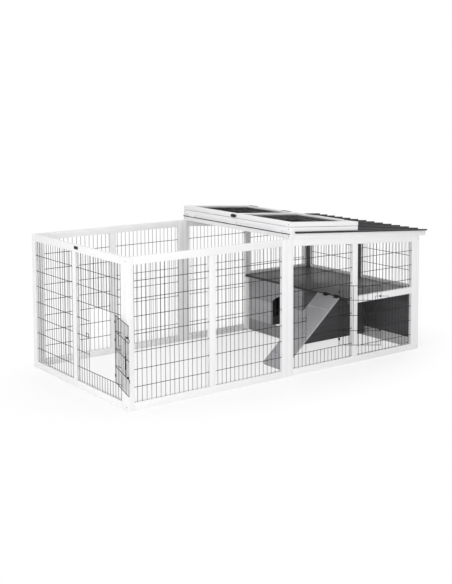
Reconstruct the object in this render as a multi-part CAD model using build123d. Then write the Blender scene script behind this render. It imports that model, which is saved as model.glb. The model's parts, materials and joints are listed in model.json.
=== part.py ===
from build123d import *
import math
import os

# Guinea pig hutch with a run: mesh panels, a roofed hutch end with a platform,
# ramp and nest box, two wire doors and a folding mesh lid laid back on the roof.
# Millimetres. X runs along the front from the run to the hutch, Y to the back,
# Z up. Sizes below are read from the front left bottom corner of the frame.

# Overall sizes
LENGTH = 1862.0
DEPTH = 960.0
RUN_HEIGHT = 700.0
RUN_LENGTH = 925.0
ROOF_FALL = 0.067

# Timber sections
RAIL = 35.0
THICK = 20.0

# Welded mesh
WIRE = 2.0
PITCH = 25.0
BAND = 81.0
TOP_BAND = 590.0
LOW_BANDS = (247.0, 166.0, 85.0)
HIGH_BANDS = (557.0, 477.0, 397.0)
END_BANDS = (435.0, 518.0)
LAST_GAP = 0.9
MESH_INSET = 6.0
GROOVE_DEPTH = 4.0
GROOVE_GAP = 0.5
WIRE_BITE = 3.0

# Panel divisions
RUN_MID = 466.5
HUTCH_MID = 1382.5
END_MID = 503.0
RIGHT_MID = 463.5
MID_RAIL_LOW = 319.0

# Boards that close the nest corner
BOARD = 8.0
BOARD_ROWS = 4
BOARD_BEVEL = 2.0
SKIRT = 22.0

# Roof
FASCIA = 28.0
FASCIA_START = 970.0
ROOF_OVERHANG = 53.0
FASCIA_SETBACK = 3.0
HINGE_RAIL_WIDTH = 32.0
HINGE_RAIL_LIFT = 4.0
HINGE_BATTEN = 4.5
HINGE_BATTEN_SETBACK = 1.5
ROOF_SIDE_LAP = 9.0
ROOF_BOARDS = 14
ROOF_HIGH = 8.0
ROOF_LOW = 1.2
ROOF_BATTEN_X = (1210.0, 1560.0)
ROOF_BATTEN_DEPTH = 18.0

# Platform and nest box
PLATFORM_TOP = 340.0
PLATFORM = 12.0
PLATFORM_EDGE = 1364.0
LEDGER = 18.0
NEST_FACE = 1362.0
NEST_WALL = 10.0
NEST_FRONT = 409.0
NEST_SIDE_JOINTS = (12.0, 80.0, 208.0, 285.0)
NEST_FRONT_JOINTS = (15.0, 63.0, 143.0, 223.0, 303.0)
ARCH_FROM = 490.0
ARCH_TO = 685.0
ARCH_SPRING = 215.0
ARCH_CROWN = 257.0
CORNER_BATTEN = 40.0

# Ramp
RAMP_FROM = 100.0
RAMP_WIDTH = 170.0
RAMP = 10.0
RAMP_ANGLE = 40.5
RAMP_AXIS_OUT = 6.0
RAMP_HEAD_GAP = 6.0
RAMP_FLOOR_GAP = 0.5
RAMP_CORNER = 18.0
CLEAT = 6.0
CLEAT_WIDTH = 14.0
CLEAT_AT = (98.0, 262.0, 426.0)
CLEAT_INSET = 8.0
RAMP_HINGE_FROM_EDGE = (19.0, 104.0)

# Hinges
LEAF = 1.5
RAIL_LEAF = 2.0
BARREL = 3.5
FOLD_BARREL = 2.5
PIN = 1.5
PIN_PLAY = 0.06
KNUCKLE_GAP = 0.4
HINGE_WIDTH = 60.0
FOLD_HINGE_WIDTH = 72.0
RAMP_HINGE_WIDTH = 36.0
LEAF_DROP = 20.0
LEAF_WRAP = 15.0
RAMP_LEAF = 16.0
LID_HINGE_FROM_EDGE = (90.0, 480.0, 870.0)
FOLD_HINGE_FROM_EDGE = (60.0, 370.0, 590.0, 900.0)

# Folding lid
LID_LENGTH = 460.0
LID = 22.0
LID_SEAT = 0.3
LID_STACK_GAP = 2.0
LID_ROOF_GAP = 0.5
LID_BARS = 4
LATCH_Y = 474.0
BUTTON_LENGTH = 42.0
BUTTON_WIDTH = 16.0
BUTTON = 4.0
BUTTON_STANDOFF = 4.5
BUTTON_PIN = 2.5
BUTTON_HEAD = 5.0
BUTTON_HEAD_HEIGHT = 2.2
BUTTON_PLAY = 0.4
CATCH_LENGTH = 35.0
CATCH_HEIGHT = 14.0
CATCH = 3.0
CATCH_DROP = 6.0

# Wire doors
DOOR_BANDS = (6, 2)
DOOR_GAP = 4.0
DOOR_BORDER = 6.0
LEFT_DOOR_WIRES = (2, 12)
FRONT_DOOR_WIRES = (12, 3)
LEFT_DOOR_OPEN = 164.0
FRONT_DOOR_OPEN = 142.5
CLIP_HEIGHTS = (140.0, 306.0, 390.0)
CLIP_HEIGHT = 12.0
CLIP_OUTER = 3.2
CLIP_INNER = 1.9
BOLT_SETOFF = 6.7
BOLT_BACK = 30.0
BOLT_REACH = 40.0
BOLT_HEIGHTS = (192.0, 370.0)
BOLT_HOOK = 14.0
GUIDE = 3.2
GUIDE_LENGTH = 10.0
GUIDE_GAP = 0.3
GRIP = 3.2
GRIP_FROM = 222.0
GRIP_TO = 284.0
KEEPER_FROM = 268.0
KEEPER_TO = 286.0


def box(x0, x1, y0, y1, z0, z1):
    middle = Pos((x0 + x1) / 2, (y0 + y1) / 2, (z0 + z1) / 2)
    return middle * Box(x1 - x0, y1 - y0, z1 - z0)


def side_prism(points, y0, y1):
    """Extrude an outline given in X and Z from y0 to y1."""
    outline = Plane.XZ * make_face(Polyline(*points, close=True))
    return Pos(0, y1, 0) * extrude(outline, amount=y1 - y0)


def eaves(x):
    """Top of the hutch's sloping rails at x."""
    return RUN_HEIGHT - ROOF_FALL * (x - RUN_LENGTH)


def roof_plane(x):
    """Underside of the roof boards at x."""
    return eaves(x) + FASCIA


def flat_top(u):
    return RUN_HEIGHT


def wire_row(start, end):
    """Places of upright wires at PITCH, centred between two timbers."""
    count = int((end - start - WIRE) // PITCH)
    if (end - start) - count * PITCH > PITCH * LAST_GAP:
        count += 1
    first = (start + end - (count - 1) * PITCH) / 2
    return [first + PITCH * i for i in range(count)]


class Panel:
    """A framed mesh panel, with u along it, v inwards from its outer face."""

    def __init__(self, length, top, place):
        self.length = length
        self.top = top
        self.place = place
        self.stiles = []
        self.rails = []
        self.wires = []
        self.bays = []

    def timber(self, u0, u1, low, high):
        points = [(u0, low(u0)), (u1, low(u1)), (u1, high(u1)), (u0, high(u0))]
        return side_prism(points, 0, THICK)

    def add_stile(self, u0, full):
        base = (lambda u: 0.0) if full else (lambda u: RAIL)
        head = self.top if full else (lambda u: self.top(u) - RAIL)
        self.stiles.append(self.timber(u0, u0 + RAIL, base, head))

    def add_rail(self, u0, u1, low, high):
        self.rails.append(self.timber(u0, u1, low, high))

    def add_bay(self, u0, u1, low, high):
        self.bays.append((u0, u1, low, high))

    def grooves(self):
        """Slabs, one for each bay, that cut the groove in the timbers round it."""
        slabs = []
        for u0, u1, low, high in self.bays:
            a = u0 - GROOVE_DEPTH
            b = u1 + GROOVE_DEPTH
            points = [(a, low(a) - GROOVE_DEPTH), (b, low(b) - GROOVE_DEPTH)]
            points += [(b, high(b) + GROOVE_DEPTH), (a, high(a) + GROOVE_DEPTH)]
            y0 = MESH_INSET - GROOVE_GAP
            y1 = MESH_INSET + 2 * WIRE + GROOVE_GAP
            slabs.append(side_prism(points, y0, y1))
        return slabs

    def cut_grooves(self):
        slabs = self.grooves()
        for group in (self.stiles, self.rails):
            for i, timber in enumerate(group):
                reach = timber.bounding_box()
                for slab in slabs:
                    near = slab.bounding_box()
                    apart = near.max.X <= reach.min.X or near.min.X >= reach.max.X
                    apart = apart or near.max.Z <= reach.min.Z
                    apart = apart or near.min.Z >= reach.max.Z
                    if not apart:
                        timber = timber - slab
                group[i] = timber

    def upright(self, u, z0, z1):
        y0 = MESH_INSET
        self.wires.append(box(u - WIRE / 2, u + WIRE / 2, y0, y0 + WIRE, z0, z1))

    def crossbar(self, z, u0, u1):
        y0 = MESH_INSET + WIRE
        self.wires.append(box(u0, u1, y0, y0 + WIRE, z - WIRE / 2, z + WIRE / 2))

    def mesh(self, bay, bands, door=None):
        """Fill a bay with wires; door is (first, last, low, high), left open."""
        u0, u1, low, high = bay
        row = wire_row(u0, u1)
        for i, u in enumerate(row):
            z0 = low(u) - WIRE_BITE
            z1 = high(u) + WIRE_BITE
            if door is not None and door[0] < i < door[1]:
                self.upright(u, z0, door[2] + WIRE / 2)
                self.upright(u, door[3] - WIRE / 2, z1)
            else:
                self.upright(u, z0, z1)
        for z in bands:
            if door is not None and door[2] < z < door[3]:
                self.crossbar(z, u0 - WIRE_BITE, row[door[0]] + WIRE / 2)
                self.crossbar(z, row[door[1]] - WIRE / 2, u1 + WIRE_BITE)
            else:
                self.crossbar(z, u0 - WIRE_BITE, u1 + WIRE_BITE)


def side_board(u0, u1, y0, y1, z0, z1, outer):
    """A level board with its two long outer edges bevelled."""
    b = BOARD_BEVEL
    if outer > 0:
        section = [(y0, z0 + b), (y0 + b, z0), (y1, z0), (y1, z1), (y0 + b, z1), (y0, z1 - b)]
    else:
        section = [(y0, z0), (y1 - b, z0), (y1, z0 + b), (y1, z1 - b), (y1 - b, z1), (y0, z1)]
    outline = Plane.YZ * make_face(Polyline(*section, close=True))
    return Pos(u0, 0, 0) * extrude(outline, amount=u1 - u0)


def base_line(u):
    return RAIL


def run_head(u):
    return RUN_HEIGHT - RAIL


def panel_bands():
    return [TOP_BAND - BAND * k for k in range(7)]


def door_levels():
    bands = panel_bands()
    return bands[DOOR_BANDS[0]], bands[DOOR_BANDS[1]]


def ground(u):
    return 0.0


nodes = {}


def keep(name, solids, place=None):
    if place is not None:
        solids = [place * s for s in solids]
    nodes.setdefault(name, [])
    nodes[name].extend(solids)


def keep_panel(name, panel):
    panel.cut_grooves()
    keep(name + "_stiles", panel.stiles, panel.place)
    keep(name + "_rails", panel.rails, panel.place)
    keep(name + "_mesh", panel.wires, panel.place)


def run_panel(name, length, mid, place, door_bay=None, door_wires=None):
    """A level panel of two mesh bays, with a wire door left open in one."""
    panel = Panel(length, flat_top, place)
    panel.add_stile(0, True)
    panel.add_stile(mid - RAIL / 2, False)
    panel.add_stile(length - RAIL, True)
    panel.add_rail(RAIL, length - RAIL, ground, base_line)
    panel.add_rail(RAIL, length - RAIL, run_head, flat_top)
    panel.add_bay(RAIL, mid - RAIL / 2, base_line, run_head)
    panel.add_bay(mid + RAIL / 2, length - RAIL, base_line, run_head)
    low, high = door_levels()
    for i, bay in enumerate(panel.bays):
        door = None
        if door_bay == i:
            door = (min(door_wires), max(door_wires), low, high)
        panel.mesh(bay, panel_bands(), door)
    keep_panel(name, panel)
    return panel


# Run panels, each corner lapped in turn round the frame
HUTCH_END = LENGTH - THICK
front_run = run_panel("front_run", RUN_LENGTH, RUN_MID, Location((0, 0, 0)))
back_place = Pos(RUN_LENGTH, DEPTH, 0) * Rot(0, 0, 180)
back_run = run_panel("back_run", RUN_LENGTH - THICK, RUN_LENGTH - RUN_MID, back_place)
left_place = Pos(0, DEPTH, 0) * Rot(0, 0, -90)
left_length = DEPTH - THICK
left_row = wire_row(DEPTH - (END_MID - RAIL / 2), DEPTH - THICK - RAIL)
left_count = len(left_row)
left_indices = [left_count - 1 - i for i in LEFT_DOOR_WIRES]
left_end = run_panel("left_end", left_length, DEPTH - END_MID, left_place, 1, left_indices)


def hutch_panel(name, length, top, mid, place):
    """A panel whose top follows the roof, with two bays."""
    panel = Panel(length, top, place)
    panel.add_stile(0, True)
    panel.add_stile(mid - RAIL / 2, False)
    panel.add_stile(length - RAIL, True)

    def head(u):
        return top(u) - RAIL

    panel.add_rail(RAIL, length - RAIL, ground, base_line)
    panel.add_rail(RAIL, length - RAIL, head, top)
    return panel, head


def rail_low(u):
    return MID_RAIL_LOW


def rail_high(u):
    return MID_RAIL_LOW + RAIL


# Front of the hutch: a bay with the wire door and a bay split by a rail
front_mid = HUTCH_MID - RUN_LENGTH
front_length = HUTCH_END - RUN_LENGTH
front_top = lambda u: eaves(RUN_LENGTH + u)
front_place = Location((RUN_LENGTH, 0, 0))
front_hutch, front_head = hutch_panel("front_hutch", front_length, front_top, front_mid, front_place)
door_bay = (RAIL, front_mid - RAIL / 2, base_line, front_head)
upper_bay = (front_mid + RAIL / 2, front_length - RAIL, rail_high, front_head)
lower_bay = (front_mid + RAIL / 2, front_length - RAIL, base_line, rail_low)
front_hutch.add_rail(front_mid + RAIL / 2, front_length - RAIL, rail_low, rail_high)
for bay in (door_bay, upper_bay, lower_bay):
    front_hutch.add_bay(*bay)
low, high = door_levels()
front_door_cut = (min(FRONT_DOOR_WIRES), max(FRONT_DOOR_WIRES), low, high)
front_hutch.mesh(door_bay, panel_bands(), front_door_cut)
front_hutch.mesh(upper_bay, HIGH_BANDS)
front_hutch.mesh(lower_bay, LOW_BANDS)
keep_panel("front_hutch", front_hutch)

# Back of the hutch: mesh, with boards behind the nest box
back_length = LENGTH - RUN_LENGTH
back_top = lambda u: eaves(LENGTH - u)
back_mid = LENGTH - HUTCH_MID
back_hutch_place = Pos(LENGTH, DEPTH, 0) * Rot(0, 0, 180)
back_hutch, back_head = hutch_panel("back_hutch", back_length, back_top, back_mid, back_hutch_place)
back_open = (back_mid + RAIL / 2, back_length - RAIL, base_line, back_head)
back_upper = (RAIL, back_mid - RAIL / 2, rail_high, back_head)
back_lower = (RAIL, back_mid - RAIL / 2, base_line, rail_low)
back_hutch.add_rail(RAIL, back_mid - RAIL / 2, rail_low, rail_high)
back_hutch.add_bay(*back_open)
back_hutch.add_bay(*back_upper)
back_hutch.mesh(back_open, panel_bands())
back_hutch.mesh(back_upper, HIGH_BANDS)
keep_panel("back_hutch", back_hutch)

# Right end: mesh above, boards below
right_height = eaves(LENGTH)
right_top = lambda u: right_height
right_length = DEPTH - THICK
right_place = Pos(LENGTH, 0, 0) * Rot(0, 0, 90)
right_end, right_head = hutch_panel("right_end", right_length, right_top, RIGHT_MID, right_place)
right_mid_low = RIGHT_MID - RAIL / 2
right_mid_high = RIGHT_MID + RAIL / 2
right_bays = ((RAIL, right_mid_low), (right_mid_high, right_length - RAIL))
for u0, u1 in right_bays:
    right_end.add_rail(u0, u1, rail_low, rail_high)
    right_end.add_bay(u0, u1, rail_high, right_head)
    right_end.mesh((u0, u1, rail_high, right_head), END_BANDS)
keep_panel("right_end", right_end)


def board_fill(name, place, u0, u1):
    """Level boards on the inner half of a bay, on a skirt strip laid on its bottom rail."""
    skirt_top = RAIL + SKIRT
    rise = (MID_RAIL_LOW - skirt_top) / BOARD_ROWS
    y0 = THICK - BOARD
    keep("board_skirts", [box(u0, u1, 0, THICK, RAIL, skirt_top)], place)
    boards = []
    for i in range(BOARD_ROWS):
        z0 = skirt_top + rise * i
        boards.append(side_board(u0, u1, y0, THICK, z0, z0 + rise, 1))
    keep(name, boards, place)


board_fill("back_hutch_boards", back_hutch_place, RAIL, back_mid - RAIL / 2)
for u0, u1 in right_bays:
    board_fill("right_end_boards", right_place, u0, u1)

# Roof frame
roof_end = LENGTH + ROOF_OVERHANG
hinge_rail_to = FASCIA_START
hinge_rail_from = FASCIA_START - HINGE_RAIL_WIDTH
rail_points = [
    (hinge_rail_from, eaves(hinge_rail_from)),
    (hinge_rail_to, eaves(hinge_rail_to)),
    (hinge_rail_to, roof_plane(hinge_rail_to) + HINGE_RAIL_LIFT),
    (hinge_rail_from, roof_plane(hinge_rail_from) + HINGE_RAIL_LIFT),
]
keep("hinge_rail", [side_prism(rail_points, 0, DEPTH)])
batten_from = hinge_rail_from + HINGE_BATTEN_SETBACK
batten_points = [
    (batten_from, roof_plane(batten_from) + HINGE_RAIL_LIFT),
    (hinge_rail_to, roof_plane(hinge_rail_to) + HINGE_RAIL_LIFT),
    (hinge_rail_to, roof_plane(hinge_rail_to) + HINGE_RAIL_LIFT + HINGE_BATTEN),
    (batten_from, roof_plane(batten_from) + HINGE_RAIL_LIFT + HINGE_BATTEN),
]
keep("hinge_batten", [side_prism(batten_points, 0, DEPTH)])


def roof_strip(x0, x1, y0, y1, drop, lift):
    """A timber that follows the roof, from drop below its plane to lift above."""
    points = [
        (x0, roof_plane(x0) - drop),
        (x1, roof_plane(x1) - drop),
        (x1, roof_plane(x1) + lift),
        (x0, roof_plane(x0) + lift),
    ]
    return side_prism(points, y0, y1)


fascia_end = roof_end - FASCIA_SETBACK
keep("front_fascia", [roof_strip(FASCIA_START, fascia_end, 0, THICK, FASCIA, 0)])
keep("rear_fascia", [roof_strip(FASCIA_START, fascia_end, DEPTH - THICK, DEPTH, FASCIA, 0)])
keep("roof_end_rail", [roof_strip(fascia_end - THICK, fascia_end, THICK, DEPTH - THICK, FASCIA, 0)])
for x in ROOF_BATTEN_X:
    strip = roof_strip(x, x + RAIL, THICK, DEPTH - THICK, ROOF_BATTEN_DEPTH, 0)
    keep("roof_battens", [strip])

# Roof boards: bevelled weatherboards that run down the slope
tilt = math.atan(ROOF_FALL)
board_width = (DEPTH + 2 * ROOF_SIDE_LAP) / ROOF_BOARDS
board_run = (roof_end - FASCIA_START) / math.cos(tilt)
for i in range(ROOF_BOARDS):
    y0 = -ROOF_SIDE_LAP + board_width * i
    y1 = y0 + board_width
    section = [(y0, 0), (y1, 0), (y1, ROOF_LOW), (y0, ROOF_HIGH)]
    outline = Plane.YZ * make_face(Polyline(*section, close=True))
    board = extrude(outline, amount=board_run)
    lay = Pos(FASCIA_START, 0, roof_plane(FASCIA_START)) * Rot(0, math.degrees(tilt), 0)
    keep("roof_boards", [lay * board])

# Platform on its ledgers
platform_low = PLATFORM_TOP - PLATFORM
inner_back = DEPTH - THICK
keep("platform", [box(PLATFORM_EDGE, HUTCH_END, THICK, inner_back, platform_low, PLATFORM_TOP)])
ledger_low = platform_low - LEDGER
nest_inner = NEST_FACE + NEST_WALL
nest_back_of_front = NEST_FRONT + NEST_WALL
side_from = HUTCH_END - LEDGER
keep("platform_ledgers", [
    box(PLATFORM_EDGE, HUTCH_END, THICK, THICK + LEDGER, ledger_low, platform_low),
    box(nest_inner, HUTCH_END, inner_back - LEDGER, inner_back, ledger_low, platform_low),
    box(side_from, HUTCH_END, THICK + LEDGER, NEST_FRONT, ledger_low, platform_low),
    box(side_from, HUTCH_END, nest_back_of_front, inner_back - LEDGER, ledger_low, platform_low),
])

# Nest box wall with the arched doorway, made of level boards
side_levels = list(NEST_SIDE_JOINTS) + [platform_low]


def wall_board(y0, y1, z0, z1):
    """A level board of the doorway wall, bevelled on its outer long edges."""
    b = BOARD_BEVEL
    x0 = NEST_FACE
    x1 = NEST_FACE + NEST_WALL
    section = [(x0, z0 + b), (x0 + b, z0), (x1, z0), (x1, z1), (x0 + b, z1), (x0, z1 - b)]
    return side_prism(section, y0, y1)


wall_boards = []
for z0, z1 in zip(side_levels[:-1], side_levels[1:]):
    if z1 <= ARCH_SPRING and z0 >= NEST_SIDE_JOINTS[1]:
        wall_boards.append(wall_board(NEST_FRONT, ARCH_FROM, z0, z1))
        wall_boards.append(wall_board(ARCH_TO, inner_back, z0, z1))
    else:
        wall_boards.append(wall_board(NEST_FRONT, inner_back, z0, z1))
arch_mid = (ARCH_FROM + ARCH_TO) / 2
sill = NEST_SIDE_JOINTS[1]
arch_edge = Polyline((ARCH_FROM, ARCH_SPRING), (ARCH_FROM, sill), (ARCH_TO, sill), (ARCH_TO, ARCH_SPRING))
arch_curve = ThreePointArc((ARCH_TO, ARCH_SPRING), (arch_mid, ARCH_CROWN), (ARCH_FROM, ARCH_SPRING))
arch_face = Plane.YZ * make_face(arch_edge + arch_curve)
arch_cut = Pos(NEST_FACE - NEST_WALL, 0, 0) * extrude(arch_face, amount=3 * NEST_WALL)
for i, board in enumerate(wall_boards):
    reach = board.bounding_box()
    if reach.min.Z < ARCH_CROWN and reach.max.Z > ARCH_SPRING:
        wall_boards[i] = board - arch_cut
keep("nest_side_boards", wall_boards)
batten_x = NEST_FACE - NEST_WALL
keep("nest_side_battens", [
    box(batten_x, NEST_FACE, inner_back - CORNER_BATTEN, inner_back, NEST_SIDE_JOINTS[0], platform_low),
    box(nest_inner, nest_inner + LEDGER, nest_back_of_front, nest_back_of_front + LEDGER,
        NEST_FRONT_JOINTS[0], platform_low),
])

# Nest box front wall
front_levels = list(NEST_FRONT_JOINTS) + [platform_low]
front_boards = []
for z0, z1 in zip(front_levels[:-1], front_levels[1:]):
    board = side_board(nest_inner, HUTCH_END, NEST_FRONT, nest_back_of_front, z0, z1, 1)
    front_boards.append(board)
keep("nest_front_boards", front_boards)


# Butt hinge made along Y about its own axis, leaves given as boxes in X and Z
def hinge_pair(y, width, radius, fixed_leaf, moving_leaf):
    """Return the half with the pin and the half that turns on it."""
    third = width / 3
    y0 = y - width / 2
    y1 = y + width / 2

    def barrel(a, b, r):
        return Pos(0, b, 0) * Rot(90, 0, 0) * extrude(Circle(r), amount=b - a)

    fixed = barrel(y0, y0 + third, radius) + barrel(y1 - third, y1, radius)
    fixed = fixed + barrel(y0, y1, PIN)
    moving = barrel(y0 + third + KNUCKLE_GAP, y1 - third - KNUCKLE_GAP, radius)
    for x0, x1, z0, z1, web in fixed_leaf:
        if web:
            fixed = fixed + box(x0, x1, y0, y0 + third, z0, z1)
            fixed = fixed + box(x0, x1, y1 - third, y1, z0, z1)
        else:
            fixed = fixed + box(x0, x1, y0, y1, z0, z1)
    for x0, x1, z0, z1, web in moving_leaf:
        if web:
            moving = moving + box(x0, x1, y0 + third + KNUCKLE_GAP, y1 - third - KNUCKLE_GAP, z0, z1)
        else:
            moving = moving + box(x0, x1, y0, y1, z0, z1)
    moving = moving - barrel(y0, y1, PIN + PIN_PLAY)
    return fixed, moving


# Folding lid: both frames are drawn shut over the run, then laid back
lid_axis_x = hinge_rail_from - RAIL_LEAF - BARREL
lid_low = RUN_HEIGHT + LID_SEAT
lid_high = lid_low + LID
lid_axis_z = lid_high + 2 * BARREL
lid_right = lid_axis_x - BARREL - LEAF
lid_left = lid_right - LID_LENGTH
fold_x = lid_left - LEAF - FOLD_BARREL
fold_z = lid_low - LID_STACK_GAP / 2
upper_right = fold_x - LEAF - FOLD_BARREL
upper_left = upper_right - LID_LENGTH
lid_angle = 180 + math.degrees(tilt)
lay_lower = Pos(lid_axis_x, 0, lid_axis_z) * Rot(0, lid_angle, 0) * Pos(-lid_axis_x, 0, -lid_axis_z)
fold_upper = Pos(fold_x, 0, fold_z) * Rot(0, -180, 0) * Pos(-fold_x, 0, -fold_z)
lay_upper = lay_lower * fold_upper


def lid_frame(x0):
    """Two long rails and three short bars round two windows."""
    x1 = x0 + LID_LENGTH
    groove_low = lid_low + LID / 2 - WIRE - GROOVE_GAP
    groove_high = lid_low + LID / 2 + WIRE + GROOVE_GAP
    bars = [
        box(x0, x0 + RAIL, 0, DEPTH, lid_low, lid_high),
        box(x1 - RAIL, x1, 0, DEPTH, lid_low, lid_high),
    ]
    spans = (0, (DEPTH - RAIL) / 2, DEPTH - RAIL)
    for y in spans:
        bars.append(box(x0 + RAIL, x1 - RAIL, y, y + RAIL, lid_low, lid_high))
    wires = []
    for y0, y1 in zip(spans[:-1], spans[1:]):
        a = y0 + RAIL
        slab = box(x0 + RAIL - GROOVE_DEPTH, x1 - RAIL + GROOVE_DEPTH,
                   a - GROOVE_DEPTH, y1 + GROOVE_DEPTH, groove_low, groove_high)
        bars = [bar - slab if overlaps(bar, slab) else bar for bar in bars]
        z = lid_low + LID / 2
        for y in wire_row(a, y1):
            wires.append(box(x0 + RAIL - WIRE_BITE, x1 - RAIL + WIRE_BITE,
                             y - WIRE / 2, y + WIRE / 2, z, z + WIRE))
        for k in range(LID_BARS):
            x = (x0 + x1) / 2 + BAND * (k - (LID_BARS - 1) / 2)
            wires.append(box(x - WIRE / 2, x + WIRE / 2, a - WIRE_BITE, y1 + WIRE_BITE, z - WIRE, z))
    return bars, wires


def overlaps(a, b):
    p = a.bounding_box()
    q = b.bounding_box()
    x = p.min.X < q.max.X and q.min.X < p.max.X
    y = p.min.Y < q.max.Y and q.min.Y < p.max.Y
    return x and y


lower_frame, lower_wires = lid_frame(lid_left)
upper_frame, upper_wires = lid_frame(upper_left)
keep("lower_lid_frame", lower_frame, lay_lower)
keep("lower_lid_mesh", lower_wires, lay_lower)
keep("upper_lid_frame", upper_frame, lay_upper)
keep("upper_lid_mesh", upper_wires, lay_upper)

# Hinges between the hinge rail and the lower frame
edge = BARREL + LEAF
rail_edge = BARREL + RAIL_LEAF
lid_fixed_leaf = [(BARREL, rail_edge, -LEAF_DROP, -BARREL, False)]
lid_fixed_leaf.append((0, rail_edge, -BARREL, 0, True))
lid_moving_leaf = [(-edge, -BARREL, -LEAF_DROP, -BARREL, False), (-edge, 0, -BARREL, 0, True)]
for y in LID_HINGE_FROM_EDGE:
    fixed, moving = hinge_pair(y, HINGE_WIDTH, BARREL, lid_fixed_leaf, lid_moving_leaf)
    at_axis = Pos(lid_axis_x, 0, lid_axis_z)
    keep("lid_hinge_fixed", [at_axis * fixed])
    keep("lid_hinge_moving", [lay_lower * at_axis * moving])

# Hinges between the two lid frames, the upper leaf wrapped over the frame's top
fold_edge = FOLD_BARREL + LEAF
lid_top_off = lid_high - fold_z
lower_leaf = [(FOLD_BARREL, fold_edge, FOLD_BARREL, lid_top_off - LEAF, False)]
lower_leaf.append((0, fold_edge, 0, FOLD_BARREL, True))
upper_leaf = [(-fold_edge, -FOLD_BARREL, FOLD_BARREL, lid_top_off + LEAF, False)]
upper_leaf.append((-fold_edge, 0, 0, FOLD_BARREL, True))
upper_leaf.append((-fold_edge - LEAF_WRAP, -FOLD_BARREL, lid_top_off, lid_top_off + LEAF, False))
for y in FOLD_HINGE_FROM_EDGE:
    pinned, turning = hinge_pair(y, FOLD_HINGE_WIDTH, FOLD_BARREL, lower_leaf, upper_leaf)
    at_axis = Pos(fold_x, 0, fold_z)
    keep("fold_hinge_lower", [lay_lower * at_axis * pinned])
    keep("fold_hinge_upper", [lay_upper * at_axis * turning])

# Turn button on the upper frame's free edge, and its catch plate
button_z = lid_low + LID / 2


def disc_x(x0, x1, y, z, r):
    return Pos(x0, y, z) * Rot(0, 90, 0) * extrude(Circle(r), amount=x1 - x0)


button_x1 = upper_left - BUTTON_STANDOFF
button_x0 = button_x1 - BUTTON
button_outline = SlotOverall(BUTTON_LENGTH, BUTTON_WIDTH)
button_plate = extrude(Plane.YZ * button_outline, amount=BUTTON)
button = Pos(button_x0, LATCH_Y, button_z) * button_plate
bore = disc_x(button_x0 - 1, button_x1 + 1, LATCH_Y, button_z, BUTTON_PIN + PIN_PLAY)
screw = disc_x(button_x0 - BUTTON_PLAY, upper_left, LATCH_Y, button_z, BUTTON_PIN)
head_x = button_x0 - BUTTON_PLAY
screw_head = disc_x(head_x - BUTTON_HEAD_HEIGHT, head_x, LATCH_Y, button_z, BUTTON_HEAD)
spacer = disc_x(button_x1 + BUTTON_PLAY, upper_left, LATCH_Y, button_z, BUTTON_HEAD)
keep("turn_button", [button - bore], lay_upper)
keep("turn_button_screw", [screw + screw_head + spacer], lay_upper)
catch_high = RUN_HEIGHT - CATCH_DROP
keep("catch_plate", [box(-CATCH, 0, LATCH_Y - CATCH_LENGTH / 2, LATCH_Y + CATCH_LENGTH / 2,
                         catch_high - CATCH_HEIGHT, catch_high)])

# Ramp, drawn level along minus X from its hinge axis, then let down
ramp_axis_x = PLATFORM_EDGE - RAMP_AXIS_OUT
ramp_axis_z = PLATFORM_TOP + BARREL
ramp_sin = math.sin(math.radians(RAMP_ANGLE))
ramp_cos = math.cos(math.radians(RAMP_ANGLE))
ramp_foot = (ramp_axis_z - RAMP_FLOOR_GAP - (BARREL + RAMP) * ramp_cos) / ramp_sin
let_down = Pos(ramp_axis_x, 0, ramp_axis_z) * Rot(0, -RAMP_ANGLE, 0)
ramp_to = RAMP_FROM + RAMP_WIDTH
ramp_board = box(-ramp_foot, -RAMP_HEAD_GAP, RAMP_FROM, ramp_to, -BARREL - RAMP, -BARREL)
foot_edges = ramp_board.edges().filter_by(Axis.Z).sort_by(Axis.X)[:2]
ramp_board = fillet(foot_edges, RAMP_CORNER)
keep("ramp_board", [let_down * ramp_board])
for down in CLEAT_AT:
    x = -down
    cleat = box(x - CLEAT_WIDTH / 2, x + CLEAT_WIDTH / 2, RAMP_FROM + CLEAT_INSET,
                ramp_to - CLEAT_INSET, -BARREL, -BARREL + CLEAT)
    keep("ramp_cleats", [let_down * cleat])
for y in RAMP_HINGE_FROM_EDGE:
    platform_leaf = [(0, RAMP_LEAF, -BARREL, -BARREL + LEAF, True)]
    platform_leaf.append((RAMP_AXIS_OUT, RAMP_LEAF, -BARREL, -BARREL + LEAF, False))
    ramp_leaf = [(-RAMP_LEAF, 0, -BARREL, -BARREL + LEAF, True)]
    ramp_leaf.append((-RAMP_LEAF, -RAMP_HEAD_GAP, -BARREL, -BARREL + LEAF, False))
    centre = RAMP_FROM + y
    fixed, moving = hinge_pair(centre, RAMP_HINGE_WIDTH, BARREL, platform_leaf, ramp_leaf)
    keep("ramp_hinge_fixed", [Pos(ramp_axis_x, 0, ramp_axis_z) * fixed])
    keep("ramp_hinge_moving", [let_down * moving])


def octagon(r):
    return RegularPolygon(r, 8)


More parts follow.
